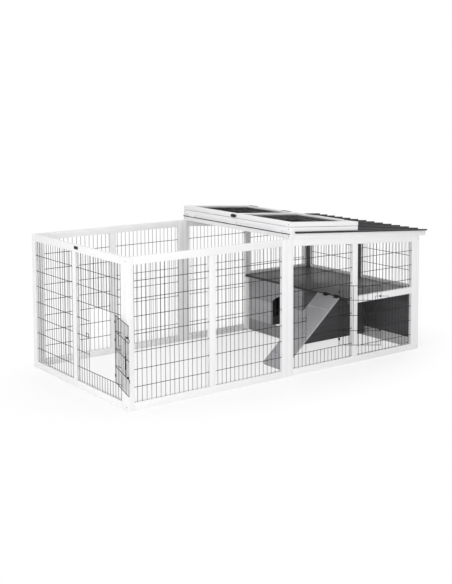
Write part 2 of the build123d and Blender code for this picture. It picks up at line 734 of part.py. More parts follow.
def wire_door(name, span, axis_x, axis_y, closed, swing):
    """A mesh door that hangs on one wire of its bay by clips, drawn along X.

    The outer side is plus Y here; the bolt slides on the inner side.
    """
    low, high = door_levels()
    z0 = low + DOOR_GAP
    z1 = high - DOOR_GAP
    first = DOOR_BORDER
    last = span - first
    place = Pos(axis_x, axis_y, 0) * Rot(0, 0, closed + swing)
    rows = [first] + [PITCH * i for i in range(1, int(round(span / PITCH)))] + [last]
    wires = []
    half = WIRE / 2
    for x in rows:
        wires.append(box(x - half, x + half, -half, half, z0, z1))
    bands = [z0 + half, z1 - half] + [z for z in panel_bands() if low + 1 < z < high - 1]
    for z in bands:
        wires.append(box(first - half, last + half, -half - WIRE, -half, z - half, z + half))
    keep(name + "_mesh", wires, place)

    clips = []
    for z in CLIP_HEIGHTS:
        ring = extrude(Circle(CLIP_OUTER), amount=CLIP_HEIGHT)
        tab = box(CLIP_INNER, first - half, -half, half, 0, CLIP_HEIGHT)
        clip = ring + tab - extrude(Circle(CLIP_INNER), amount=CLIP_HEIGHT)
        clips.append(Pos(0, 0, z - CLIP_HEIGHT / 2) * clip)
    for z in BOLT_HEIGHTS:
        x1 = last + half
        guide = box(x1 - GUIDE_LENGTH, x1, -BOLT_SETOFF - GUIDE, -half, z - GUIDE, z + GUIDE)
        hole = half + GUIDE_GAP
        slot = box(x1 - 2 * GUIDE_LENGTH, x1 + GUIDE_LENGTH, -BOLT_SETOFF - hole,
                   -BOLT_SETOFF + hole, z - hole, z + hole)
        clips.append(guide - slot)
    keep(name + "_clips", clips, place)

    bar_x = last - BOLT_BACK
    tip = last + BOLT_REACH
    y0 = -BOLT_SETOFF - half
    y1 = -BOLT_SETOFF + half
    bolt = box(bar_x - half, bar_x + half, y0, y1, BOLT_HEIGHTS[0] - half, BOLT_HEIGHTS[1] + half)
    for z in BOLT_HEIGHTS:
        bolt = bolt + box(bar_x - half, tip, y0, y1, z - half, z + half)
        bolt = bolt + box(tip - WIRE, tip, y0, y1, z - BOLT_HOOK, z + half)
    keep(name + "_bolt", [bolt], place)
    grip = extrude(octagon(GRIP), amount=GRIP_TO - GRIP_FROM)
    grip = Pos(bar_x, -BOLT_SETOFF, GRIP_FROM) * grip
    grip = grip - box(bar_x - half, bar_x + half, y0, y1, GRIP_FROM - 1, GRIP_TO + 1)
    keep(name + "_grip", [grip], place)

    at_closed = Pos(axis_x, axis_y, 0) * Rot(0, 0, closed)
    loop = box(span - half, span + PITCH + half, half, half + WIRE, KEEPER_FROM, KEEPER_TO)
    window = box(span + half, span + PITCH - half, half, half + WIRE,
                 KEEPER_FROM + WIRE, KEEPER_TO - WIRE)
    keep(name + "_keeper", [loop - window], at_closed)
    return place


# Left door: hangs on the wire nearer the front
wire_axis = MESH_INSET + WIRE / 2
left_wires = [DEPTH - u for u in left_row][::-1]
left_span = left_wires[LEFT_DOOR_WIRES[1]] - left_wires[LEFT_DOOR_WIRES[0]]
left_axis_y = left_wires[LEFT_DOOR_WIRES[0]]
wire_door("left_door", left_span, wire_axis, left_axis_y, 90, LEFT_DOOR_OPEN)

# Front door: hangs on the wire nearer the nest
front_row = [RUN_LENGTH + u for u in wire_row(door_bay[0], door_bay[1])]
front_span = front_row[FRONT_DOOR_WIRES[0]] - front_row[FRONT_DOOR_WIRES[1]]
front_axis_x = front_row[FRONT_DOOR_WIRES[0]]
wire_door("front_door", front_span, front_axis_x, wire_axis, 180, FRONT_DOOR_OPEN)

# The part's origin is the middle of its lowest plane
whole = {name: Compound(children=solids) for name, solids in nodes.items()}
boxes = [shape.bounding_box() for shape in whole.values()]
mid_x = (min(b.min.X for b in boxes) + max(b.max.X for b in boxes)) / 2
mid_y = (min(b.min.Y for b in boxes) + max(b.max.Y for b in boxes)) / 2
floor_z = min(b.min.Z for b in boxes)
origin = Pos(-mid_x, -mid_y, -floor_z)

os.makedirs("parts", exist_ok=True)
for name, shape in whole.items():
    export_step(origin * shape, "parts/" + name + ".step")

fold_rest = lay_lower * Pos(fold_x, 0, fold_z)
button_rest = lay_upper * Pos(upper_left, LATCH_Y, button_z)
anchors = {
    "origin": (mid_x, mid_y, floor_z),
    "lid hinge": (lid_axis_x, DEPTH / 2, lid_axis_z),
    "lid fold": fold_rest.position,
    "turn button": button_rest.position,
    "ramp": (ramp_axis_x, RAMP_FROM + RAMP_WIDTH / 2, ramp_axis_z),
    "left door": (wire_axis, left_axis_y, 0),
    "front door": (front_axis_x, wire_axis, 0),
}
for name, at in anchors.items():
    print(name, [round(v, 4) for v in at])
print("lid angle", round(lid_angle, 4), "nodes", len(whole))
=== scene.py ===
import math
import json

import bpy
import bmesh
from mathutils import Matrix, Vector


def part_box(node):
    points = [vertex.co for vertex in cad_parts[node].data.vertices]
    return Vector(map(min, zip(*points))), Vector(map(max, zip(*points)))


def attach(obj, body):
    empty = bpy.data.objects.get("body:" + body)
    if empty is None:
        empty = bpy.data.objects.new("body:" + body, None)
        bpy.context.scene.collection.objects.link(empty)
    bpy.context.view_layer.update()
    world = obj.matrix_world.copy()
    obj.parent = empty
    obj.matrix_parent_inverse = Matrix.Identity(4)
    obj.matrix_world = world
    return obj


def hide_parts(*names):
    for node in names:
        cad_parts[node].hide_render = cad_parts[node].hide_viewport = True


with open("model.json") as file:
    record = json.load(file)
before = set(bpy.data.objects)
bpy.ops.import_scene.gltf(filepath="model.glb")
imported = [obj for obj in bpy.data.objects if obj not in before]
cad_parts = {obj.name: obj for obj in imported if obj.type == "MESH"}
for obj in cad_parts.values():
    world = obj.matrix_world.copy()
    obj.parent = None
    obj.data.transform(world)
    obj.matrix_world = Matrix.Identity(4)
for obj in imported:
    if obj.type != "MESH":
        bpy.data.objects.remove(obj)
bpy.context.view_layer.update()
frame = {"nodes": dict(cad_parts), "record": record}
NODES = frame["nodes"]
JOINTS = {joint["name"]: joint for joint in frame["record"]["behaviour"]["joints"]}

# The front left bottom corner of the timber frame, in the row frame.
CORNER = Vector(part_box("front_run_stiles")[0])


def from_corner(x, y, z):
    """A place given in millimetres from the frame's front left bottom corner."""
    return CORNER + Vector((x, y, z)) / 1000


# Finishes

# Where the platform's painted shade fades from its lit front tone to its darker rear tone under the
# roof, in mm from the front.
DECK_SHADE_FADE = (150, 620)


def socket_rgb(colour):
    return (colour[0], colour[1], colour[2], 1.0)


class Finish:
    """A node material with a short way to add and join nodes."""

    def __init__(self, name):
        self.material = bpy.data.materials.new(name)
        self.material.use_nodes = True
        self.tree = self.material.node_tree
        self.tree.nodes.clear()
        self.out = self.add("ShaderNodeOutputMaterial")
        self.shader = self.add("ShaderNodeBsdfPrincipled")
        self.join(self.shader, "BSDF", self.out, "Surface")
        self.place = self.add("ShaderNodeTexCoord")

    def add(self, kind, **values):
        node = self.tree.nodes.new(kind)
        for key, value in values.items():
            setattr(node, key, value)
        return node

    def join(self, source, output, target, entry):
        self.tree.links.new(source.outputs[output], target.inputs[entry])

    def stretched(self, scale):
        """Object coordinates scaled for a pattern that runs one way."""
        mapping = self.add("ShaderNodeMapping")
        mapping.inputs["Scale"].default_value = scale
        self.join(self.place, "Object", mapping, "Vector")
        return mapping

    def noise(self, vector, scale, detail, roughness=0.5):
        node = self.add("ShaderNodeTexNoise")
        node.inputs["Scale"].default_value = scale
        node.inputs["Detail"].default_value = detail
        node.inputs["Roughness"].default_value = roughness
        self.join(vector, "Vector", node, "Vector")
        return node

    def ramp(self, source, output, stops):
        node = self.add("ShaderNodeValToRGB")
        points = node.color_ramp.elements
        while len(points) < len(stops):
            points.new(0.5)
        for point, (at, colour) in zip(points, stops):
            point.position = at
            point.color = socket_rgb(colour)
        self.join(source, output, node, "Fac")
        return node

    def blend(self, kind, amount, first, second):
        """Mix two colours; amount is a number or a (node, output) pair."""
        node = self.add("ShaderNodeMix", data_type="RGBA", blend_type=kind)
        for entry, value in ((0, amount), (6, first), (7, second)):
            if isinstance(value, tuple) and hasattr(value[0], "outputs"):
                self.tree.links.new(value[0].outputs[value[1]], node.inputs[entry])
            elif entry == 0:
                node.inputs[entry].default_value = value
            else:
                node.inputs[entry].default_value = socket_rgb(value)
        return node

    def bump(self, source, output, strength, distance):
        node = self.add("ShaderNodeBump")
        node.inputs["Strength"].default_value = strength
        node.inputs["Distance"].default_value = distance
        self.join(source, output, node, "Height")
        self.join(node, "Normal", self.shader, "Normal")


def grain_scale(axis, along, across):
    scale = [across, across, across]
    scale["XYZ".index(axis)] = along
    return tuple(scale)


def painted_timber(name, axis, base, deep, grain=0.3, rough=0.45, relief=0.25):
    """Brush-painted softwood: faint grain along the piece, slow tone changes, small nicks."""
    finish = Finish(name + "_" + axis)
    fibres = finish.stretched(grain_scale(axis, 4.0, 90.0))
    grain_noise = finish.noise(fibres, 1.0, 6.0, 0.6)
    grain_tone = finish.ramp(grain_noise, "Fac", [(0.35, (1, 1, 1)), (0.75, (1 - grain,) * 3)])
    slow = finish.stretched(grain_scale(axis, 2.0, 7.0))
    slow_noise = finish.noise(slow, 1.0, 2.0)
    tone = finish.blend("MIX", (slow_noise, "Fac"), base, deep)
    coloured = finish.blend("MULTIPLY", 1.0, (tone, "Result"), (grain_tone, "Color"))
    nicks = finish.noise(finish.stretched(grain_scale(axis, 60.0, 160.0)), 1.0, 2.0)
    nick_mask = finish.ramp(nicks, "Fac", [(0.74, (0, 0, 0)), (0.80, (1, 1, 1))])
    worn = finish.blend("MIX", (nick_mask, "Color"), (coloured, "Result"), tuple(c * 0.8 for c in base))
    finish.join(worn, "Result", finish.shader, "Base Color")
    sheen = finish.ramp(slow_noise, "Fac", [(0.3, (rough - 0.05,) * 3), (0.7, (rough + 0.08,) * 3)])
    finish.join(sheen, "Color", finish.shader, "Roughness")
    finish.bump(grain_noise, "Fac", relief, 0.0006)
    return finish.material


def timber_set(name, base, deep, **more):
    return [painted_timber(name, axis, base, deep, **more) for axis in "XYZ"]


def coated_wire(name, base, rough=0.42):
    """Black coated wire with a slight unevenness in its coating."""
    finish = Finish(name)
    coarse = finish.noise(finish.stretched((220, 220, 220)), 1.0, 3.0)
    tone = finish.ramp(coarse, "Fac", [(0.3, base), (0.8, tuple(c * 1.7 + 0.004 for c in base))])
    finish.join(tone, "Color", finish.shader, "Base Color")
    gloss = finish.ramp(coarse, "Fac", [(0.3, (rough,) * 3), (0.7, (rough + 0.16,) * 3)])
    finish.join(gloss, "Color", finish.shader, "Roughness")
    finish.bump(coarse, "Fac", 0.2, 0.0003)
    finish.shader.inputs["Specular IOR Level"].default_value = 0.25
    return finish.material


def steel(name, base, rough=0.35):
    """Bare or painted steel with fine scuffs."""
    finish = Finish(name)
    finish.shader.inputs["Metallic"].default_value = 0.25
    finish.shader.inputs["Specular IOR Level"].default_value = 0.3
    scuffs = finish.noise(finish.stretched((90, 400, 400)), 1.0, 4.0)
    bright = tuple(min(1, c * 1.35 + 0.01) for c in base)
    tone = finish.ramp(scuffs, "Fac", [(0.3, base), (0.75, bright)])
    finish.join(tone, "Color", finish.shader, "Base Color")
    gloss = finish.ramp(scuffs, "Fac", [(0.3, (rough,) * 3), (0.8, (rough + 0.2,) * 3)])
    finish.join(gloss, "Color", finish.shader, "Roughness")
    finish.bump(scuffs, "Fac", 0.15, 0.0002)
    return finish.material




def deck_shaded_to_rear(name, front, rear):
    """Platform paint with painted shade: darker at the rear under the roof, lighter at the front where
    more light falls.
    """
    material = painted_timber(name, "X", front, tuple(c * 0.85 for c in front), grain=0.2)
    tree = material.node_tree
    shader = next(n for n in tree.nodes if n.type == "BSDF_PRINCIPLED")
    painted = shader.inputs["Base Color"].links[0].from_socket
    place = next(n for n in tree.nodes if n.type == "TEX_COORD")
    parts = tree.nodes.new("ShaderNodeSeparateXYZ")
    tree.links.new(place.outputs["Object"], parts.inputs["Vector"])
    # Painted shade: the colour fades from the front tone to the darker rear tone along Y.
    fade = tree.nodes.new("ShaderNodeMapRange")
    fade.interpolation_type = "SMOOTHSTEP"
    fade.inputs["From Min"].default_value = from_corner(0, DECK_SHADE_FADE[0], 0).y
    fade.inputs["From Max"].default_value = from_corner(0, DECK_SHADE_FADE[1], 0).y
    tree.links.new(parts.outputs["Y"], fade.inputs["Value"])
    rear_shade_tint = tree.nodes.new("ShaderNodeMix")
    rear_shade_tint.data_type = "RGBA"
    rear_shade_tint.blend_type = "MULTIPLY"
    rear_shade_tint.inputs[7].default_value = socket_rgb(tuple(r / f for r, f in zip(rear, front)))
    tree.links.new(fade.outputs["Result"], rear_shade_tint.inputs[0])
    tree.links.new(painted, rear_shade_tint.inputs[6])
    tree.links.new(rear_shade_tint.outputs["Result"], shader.inputs["Base Color"])
    return material


# Each timber finish is a set of three, with the grain along X, Y and Z.
WHITE = timber_set(
    "white_painted_timber", (0.86, 0.86, 0.87), (0.80, 0.79, 0.80), grain=0.05, relief=0.2)
NEST_GREY = timber_set(
    "grey_painted_boards", (0.135, 0.130, 0.137), (0.10, 0.097, 0.102), grain=0.22)
WALL_GREY = timber_set(
    "mid_grey_boards", (0.34, 0.333, 0.345), (0.25, 0.245, 0.252), grain=0.2)
WALL_PALE = painted_timber(
    "pale_grey_board", "Y", (0.48, 0.47, 0.485), (0.38, 0.375, 0.385), grain=0.2)
# Painted shade: dark grey for faces that are turned from the light and lie under the roof.
SHADED_GREY = painted_timber(
    "painted_inner_shade", "Z", (0.10, 0.098, 0.103), (0.075, 0.073, 0.077), grain=0.15)
# Painted shade: the platform darkens toward the rear, standing in for the roof's shade.
DECK_GREY = [deck_shaded_to_rear("platform_grey_boards", (0.27, 0.265, 0.275), (0.070, 0.068, 0.073))] * 3
RAMP_GREY = timber_set(
    "ramp_grey_board", (0.49, 0.48, 0.50), (0.41, 0.40, 0.42), grain=0.12)
ROOF_GREY = timber_set(
    "roof_grey_boards", (0.062, 0.063, 0.067), (0.042, 0.042, 0.046), grain=0.25, rough=0.6)
# Painted shadow: black for the roof's front edge, the platform's left edge and the hinge seam.
SHADOW_BLACK = painted_timber(
    "painted_shadow_black", "X", (0.012, 0.012, 0.013), (0.008, 0.008, 0.009), grain=0.2)
WIRE_BLACK = coated_wire("black_coated_wire", (0.006, 0.006, 0.0065))
HARDWARE_BLACK = steel("black_steel", (0.010, 0.010, 0.011), 0.5)
HARDWARE_WHITE = painted_timber(
    "white_painted_steel", "Y", (0.84, 0.84, 0.85), (0.8, 0.8, 0.81), grain=0.02, relief=0.1)
SCREW_STEEL = steel("screw_steel", (0.42, 0.42, 0.43), 0.35)
# Painted shade: the screw recess is a thin dark cross standing in for the shade in its hollow.
SCREW_RECESS_SHADE = coated_wire("screw_recess_painted_shade", (0.03, 0.03, 0.03))


# Solids of a CAD node


def solids_of(node):
    """The node's separate solids, each as (places, triangles) with its corners merged."""
    mesh = NODES[node].data
    keys = {}
    places = []
    number = []
    for vertex in mesh.vertices:
        key = tuple(round(c * 1e6) for c in vertex.co)
        if key not in keys:
            keys[key] = len(places)
            places.append(vertex.co.copy())
        number.append(keys[key])
    triangles = []
    for polygon in mesh.polygons:
        corners = [number[i] for i in polygon.vertices]
        if len(set(corners)) == len(corners):
            triangles.append(corners)
    edges = {}
    for index, corners in enumerate(triangles):
        for a, b in zip(corners, corners[1:] + corners[:1]):
            edges.setdefault((min(a, b), max(a, b)), []).append(index)
    parent = list(range(len(triangles)))

    def root(i):
        while parent[i] != i:
            parent[i] = parent[parent[i]]
            i = parent[i]
        return i

    for faces in edges.values():
        if len(faces) == 2:
            parent[root(faces[0])] = root(faces[1])
    groups = {}
    for index in range(len(triangles)):
        groups.setdefault(root(index), []).append(triangles[index])
    solids = []
    for group in groups.values():
        used = sorted({i for corners in group for i in corners})
        renumber = {old: new for new, old in enumerate(used)}
        solids.append(([places[i] for i in used], [[renumber[i] for i in corners] for corners in group]))
    return solids


def add_object(name, mesh, body, replaced=()):
    piece = bpy.data.objects.new(name, mesh)
    bpy.context.scene.collection.objects.link(piece)
    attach(piece, body)
    if replaced:
        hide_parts(*replaced)
    return piece


BODY_OF = {}
for body_name, members in frame["record"]["behaviour"]["bodies"].items():
    for member in members:
        BODY_OF[member] = body_name


def longest_axis(places):
    spans = [max(p[i] for p in places) - min(p[i] for p in places) for i in range(3)]
    return spans.index(max(spans))


EASED_EDGE = 0.0009
FLAT = math.radians(1)
SHARP = math.radians(30)
ROUNDED = math.radians(50)


def ease_edges(shape, edges, width):
    bmesh.ops.bevel(
        shape, geom=edges, offset=width, segments=2, profile=0.6, affect="EDGES", clamp_overlap=True)
    bmesh.ops.recalc_face_normals(shape, faces=shape.faces)


def soften(node, finishes, edge=EASED_EDGE, pick=None):
    """Redraw a node's timbers with eased edges and grain that follows each one.

    pick(places, slot) may choose another finish for a timber than the one for its length.
    """
    whole = bmesh.new()
    for places, triangles in solids_of(node):
        part = bmesh.new()
        corners = [part.verts.new(p) for p in places]
        for triangle in triangles:
            part.faces.new([corners[i] for i in triangle])
        bmesh.ops.dissolve_limit(part, angle_limit=FLAT, verts=part.verts, edges=part.edges)
        sharp = [e for e in part.edges if len(e.link_faces) == 2 and e.calc_face_angle(0) > SHARP]
        ease_edges(part, sharp, edge)
        slot = longest_axis(places)
        if pick is not None:
            slot = pick(places, slot)
        for face in part.faces:
            face.material_index = slot
            face.smooth = True
        store = bpy.data.meshes.new("part")
        part.to_mesh(store)
        part.free()
        whole.from_mesh(store)
        bpy.data.meshes.remove(store)
    mesh = bpy.data.meshes.new(node + "_shape")
    whole.to_mesh(mesh)
    whole.free()
    for finish in finishes:
        mesh.materials.append(finish)
    mesh.set_sharp_from_angle(angle=ROUNDED)
    return add_object(node + "_timber", mesh, BODY_OF[node], (node,))


# Geometry node trees

BEND_STEPS = 5

# A screw head's top radius, the two arms of its dark recess cross, which is painted shade and not cut
# in, and their height, in metres.
HEAD_TOP_RADIUS = 0.0028
RECESS_ARMS = ((0.0042, 0.0009, 0.0002), (0.0009, 0.0042, 0.0002))
RECESS_LIFT = 0.00145


class Tree:
    """A geometry node group with named inputs, ending in Realize Instances and Set Material."""

    def __init__(self, name, inputs):
        self.group = bpy.data.node_groups.new(name, "GeometryNodeTree")
        face = self.group.interface
        face.new_socket("Geometry", in_out="INPUT", socket_type="NodeSocketGeometry")
        for label, kind, value in inputs:
            socket = face.new_socket(label, in_out="INPUT", socket_type=kind)
            if value is not None:
                socket.default_value = value
        face.new_socket("Geometry", in_out="OUTPUT", socket_type="NodeSocketGeometry")
        self.entry = self.add("NodeGroupInput")
        self.exit = self.add("NodeGroupOutput")

    def add(self, kind, **values):
        node = self.group.nodes.new(kind)
        for key, value in values.items():
            setattr(node, key, value)
        return node

    def join(self, source, output, target, entry):
        self.group.links.new(source.outputs[output], target.inputs[entry])

    def close(self, source, output, material_input=True):
        realize = self.add("GeometryNodeRealizeInstances")
        self.join(source, output, realize, "Geometry")
        last = realize
        if material_input:
            last = self.add("GeometryNodeSetMaterial")
            self.join(realize, "Geometry", last, "Geometry")
            self.join(self.entry, "Material", last, "Material")
        self.join(last, "Geometry", self.exit, "Geometry")


def wire_tree():
    """Round wire along every edge of the mesh it is given, bends eased."""
    tree = Tree("round_wire", [
        ("Wire radius", "NodeSocketFloat", 0.001),
        ("Wire sides", "NodeSocketInt", 8),
        ("Bend radius", "NodeSocketFloat", 0.0),
        ("Material", "NodeSocketMaterial", None),
    ])
    line = tree.add("GeometryNodeMeshToCurve")
    tree.join(tree.entry, "Geometry", line, "Mesh")
    bend = tree.add("GeometryNodeFilletCurve", mode="POLY")
    bend.inputs["Count"].default_value = BEND_STEPS
    bend.inputs["Limit Radius"].default_value = True
    tree.join(line, "Curve", bend, "Curve")
    tree.join(tree.entry, "Bend radius", bend, "Radius")
    ring = tree.add("GeometryNodeCurvePrimitiveCircle")
    tree.join(tree.entry, "Wire radius", ring, "Radius")
    tree.join(tree.entry, "Wire sides", ring, "Resolution")
    tube = tree.add("GeometryNodeCurveToMesh")
    tube.inputs["Fill Caps"].default_value = True
    tree.join(bend, "Curve", tube, "Curve")
    tree.join(ring, "Curve", tube, "Profile Curve")
    smooth = tree.add("GeometryNodeSetShadeSmooth")
    tree.join(tube, "Mesh", smooth, 0)
    tree.close(smooth, 0)
    return tree.group


def screw_tree():
    """A pan head with a dark cross as painted shade for its recess on every point, turned to the point's
    facing.
    """
    tree = Tree("screw_heads", [
        ("Head radius", "NodeSocketFloat", 0.0038),
        ("Head height", "NodeSocketFloat", 0.0014),
        ("Head sides", "NodeSocketInt", 14),
        ("Material", "NodeSocketMaterial", None),
        ("Recess shade material", "NodeSocketMaterial", None),
    ])
    head = tree.add("GeometryNodeMeshCone", fill_type="NGON")
    head.inputs["Radius Top"].default_value = HEAD_TOP_RADIUS
    tree.join(tree.entry, "Head sides", head, "Vertices")
    tree.join(tree.entry, "Head radius", head, "Radius Bottom")
    tree.join(tree.entry, "Head height", head, "Depth")
    head_finish = tree.add("GeometryNodeSetMaterial")
    tree.join(head, "Mesh", head_finish, "Geometry")
    tree.join(tree.entry, "Material", head_finish, "Material")
    parts = [head_finish]
    for size in RECESS_ARMS:
        slot = tree.add("GeometryNodeMeshCube")
        slot.inputs["Size"].default_value = size
        lift = tree.add("GeometryNodeTransform")
        lift.inputs["Translation"].default_value = (0, 0, RECESS_LIFT)
        tree.join(slot, "Mesh", lift, "Geometry")
        finish = tree.add("GeometryNodeSetMaterial")
        tree.join(lift, "Geometry", finish, "Geometry")
        tree.join(tree.entry, "Recess shade material", finish, "Material")
        parts.append(finish)
    both = tree.add("GeometryNodeJoinGeometry")
    for part in reversed(parts):
        tree.join(part, "Geometry", both, "Geometry")
    facing = tree.add("GeometryNodeInputNamedAttribute", data_type="FLOAT_VECTOR")
    facing.inputs["Name"].default_value = "facing"
    turn = tree.add("FunctionNodeAlignRotationToVector", axis="Z")
    tree.join(facing, "Attribute", turn, "Vector")
    copies = tree.add("GeometryNodeInstanceOnPoints")
    tree.join(tree.entry, "Geometry", copies, "Points")
    tree.join(both, "Geometry", copies, "Instance")
    tree.join(turn, "Rotation", copies, "Rotation")
    tree.close(copies, "Instances", material_input=False)
    return tree.group


def coil_tree():
    """A close wound coil of wire that stands on its origin."""
    tree = Tree("wound_coil", [
        ("Coil radius", "NodeSocketFloat", 0.0022),
        ("Coil length", "NodeSocketFloat", 0.06),
        ("Turns", "NodeSocketFloat", 24.0),
        ("Wire radius", "NodeSocketFloat", 0.0007),
        ("Material", "NodeSocketMaterial", None),
    ])
    spiral = tree.add("GeometryNodeCurveSpiral")
    spiral.inputs["Resolution"].default_value = 14
    tree.join(tree.entry, "Turns", spiral, "Rotations")
    tree.join(tree.entry, "Coil radius", spiral, "Start Radius")
    tree.join(tree.entry, "Coil radius", spiral, "End Radius")
    tree.join(tree.entry, "Coil length", spiral, "Height")
    ring = tree.add("GeometryNodeCurvePrimitiveCircle")
    ring.inputs["Resolution"].default_value = 6
    tree.join(tree.entry, "Wire radius", ring, "Radius")
    tube = tree.add("GeometryNodeCurveToMesh")
    tube.inputs["Fill Caps"].default_value = True
    tree.join(spiral, "Curve", tube, "Curve")
    tree.join(ring, "Curve", tube, "Profile Curve")
    smooth = tree.add("GeometryNodeSetShadeSmooth")
    tree.join(tube, "Mesh", smooth, 0)
    tree.close(smooth, 0)
    return tree.group


def grow(mesh, group, values, at=None):
    """Run a tree on a mesh and return the result as a plain mesh, put in its place."""
    carrier = bpy.data.objects.new("carrier", mesh)
    bpy.context.scene.collection.objects.link(carrier)
    modifier = carrier.modifiers.new("grow", "NODES")
    modifier.node_group = group
    for item in group.interface.items_tree:
        if item.item_type == "SOCKET" and item.in_out == "INPUT" and item.name in values:
            modifier[item.identifier] = values[item.name]
    carrier.update_tag()
    bpy.context.view_layer.update()
    seen = carrier.evaluated_get(bpy.context.evaluated_depsgraph_get())
    result = bpy.data.meshes.new_from_object(seen)
    bpy.data.objects.remove(carrier)
    if at is not None:
        result.transform(at)
    return result


ROUND_WIRE = wire_tree()
SCREW_HEADS = screw_tree()
WOUND_COIL = coil_tree()


def line_mesh(paths):
    mesh = bpy.data.meshes.new("lines")
    places = []
    edges = []
    for path in paths:
        start = len(places)
        places.extend(path)
        edges.extend((start + i, start + i + 1) for i in range(len(path) - 1))
    mesh.from_pydata([tuple(p) for p in places], edges, [])
    return mesh


def centre_line(places):
    """The two end middles of a straight bar with eight corners."""
    first = places[0]
    spans = sorted(((p - first).length, i) for i, p in enumerate(places))
    far = [places[i] for _, i in spans[-4:]]
    near = [places[i] for _, i in spans[:4]]
    middle_near = sum(near, Vector()) / 4
    middle_far = sum(far, Vector()) / 4
    return middle_near, middle_far


UPRIGHT_WIRE = 0.0011
LEVEL_WIRE = 0.0015
WIRE_SIDES = 8
MOSTLY = 0.7


def is_upright(along, lid):
    """Whether a wire is one of the thin ones: standing in a wall, or running in X in a lid."""
    if lid:
        return abs(along.y) < MOSTLY * along.length
    return abs(along.z) > MOSTLY * along.length


def round_mesh(node, lid=False):
    """Redraw a node of straight square wires as round wire, the level wires a little thicker."""
    upright = []
    level = []
    for places, _ in solids_of(node):
        start, end = centre_line(places)
        (upright if is_upright(end - start, lid) else level).append((start, end))
    whole = bmesh.new()
    for radius, lines in ((UPRIGHT_WIRE, upright), (LEVEL_WIRE, level)):
        values = {"Wire radius": radius, "Wire sides": WIRE_SIDES, "Material": WIRE_BLACK}
        part = grow(line_mesh(lines), ROUND_WIRE, values)
        whole.from_mesh(part)
        bpy.data.meshes.remove(part)
    mesh = bpy.data.meshes.new(node + "_wires")
    whole.to_mesh(mesh)
    whole.free()
    mesh.materials.append(WIRE_BLACK)
    return add_object(node + "_wires", mesh, BODY_OF[node], (node,))


# Timber

PANELS = ("front_run", "back_run", "left_end", "front_hutch", "back_hutch", "right_end")
ROOF_TIMBERS = (
    "hinge_rail", "hinge_batten", "front_fascia", "rear_fascia", "roof_end_rail", "roof_battens",
)

# A piece's fourth finish comes after the three for the grain's direction.
EXTRA_SLOT = 3
ALONG_Y = 1
FACING_LEFT = -0.7
FINE_EDGE = 0.0006
ROOF_EDGE = 0.0008
RAMP_EDGE = 0.0012

# In mm from the frame's front left bottom corner.
# Painted shade: the right end's stiles are darkened on their left faces behind this depth.
SHADED_BEHIND = 200
MIDDLE_BOARD = (75, 215)
# Painted shadow: corners of the black strip in the gap under the folded lid.
SHADOW_GAP_LOW = (935.3, 0.3, 720.6)
SHADOW_GAP_HIGH = (938.6, 959.7, 725.3)


def paint_shade_on_left_faces(piece, front_limit=-math.inf):
    """Give a piece's left faces its extra finish as painted shade, but none further forward than the
    limit.
    """
    for face in piece.data.polygons:
        if face.normal.x < FACING_LEFT and face.center.y > front_limit:
            face.material_index = EXTRA_SLOT


# Painted shade: the foremost roof board is drawn black for its shadowed front edge.
def front_board_painted_shade(places, slot):
    foremost = min(p.y for p in places) < CORNER.y
    return EXTRA_SLOT if foremost else slot


def paler_middle_board(places, _):
    levels = [(p.z - CORNER.z) * 1000 for p in places]
    middle = min(levels) > MIDDLE_BOARD[0] and max(levels) < MIDDLE_BOARD[1]
    return EXTRA_SLOT if middle else ALONG_Y


def build_panels():
    for node in PANELS:
        stiles = soften(node + "_stiles", WHITE + [SHADED_GREY])
        # Painted shade: the right end's stiles are dark grey on their left faces under the roof.
        if node == "right_end":
            paint_shade_on_left_faces(stiles, from_corner(0, SHADED_BEHIND, 0).y)
        soften(node + "_rails", WHITE)
        round_mesh(node + "_mesh")


def shadow_gap_strip():
    """Black strip on the hinge rail under the folded lid, a painted shadow in the gap between the lid
    and the rail.
    """
    shape = bmesh.new()
    low = from_corner(*SHADOW_GAP_LOW)
    high = from_corner(*SHADOW_GAP_HIGH)
    bmesh.ops.create_cube(shape, size=1.0)
    for vertex in shape.verts:
        vertex.co = Vector((low[i] if vertex.co[i] < 0 else high[i]) for i in range(3))
    ease_edges(shape, shape.edges[:], FINE_EDGE)
    mesh = bpy.data.meshes.new("shadow_gap_strip")
    shape.to_mesh(mesh)
    shape.free()
    mesh.materials.append(SHADOW_BLACK)
    add_object("shadow_gap_strip", mesh, "hutch")


def build_timbers():
    for node in ROOF_TIMBERS:
        soften(node, WHITE)
    # Painted shadow: a black strip fills the seam under the folded lid.
    shadow_gap_strip()
    soften("platform_ledgers", NEST_GREY)
    for node in ("board_skirts", "lower_lid_frame", "upper_lid_frame"):
        soften(node, WHITE)
    # Painted shade: the foremost roof board gets the black finish.
    soften("roof_boards", ROOF_GREY + [SHADOW_BLACK], ROOF_EDGE, front_board_painted_shade)
    # Painted shade: the platform's left edge is black where it lies in shadow.
    paint_shade_on_left_faces(soften("platform", DECK_GREY + [SHADOW_BLACK]))
    soften("nest_side_boards", WALL_GREY + [WALL_PALE], FINE_EDGE, paler_middle_board)
    soften("nest_side_battens", WHITE)
    for node in ("nest_front_boards", "back_hutch_boards", "right_end_boards"):
        soften(node, NEST_GREY, FINE_EDGE)
    for node in ("ramp_board", "ramp_cleats"):
        soften(node, RAMP_GREY, RAMP_EDGE)
    for node in ("lower_lid_mesh", "upper_lid_mesh"):
        round_mesh(node, lid=True)


# Wire doors: mesh, bolt and wound grip

# Each door, the heading of its free edge when shut, how far it is open, and its width in metres.
DOORS = (("left_door", 90, 164.0, 0.250), ("front_door", 180, 142.5, 0.225))

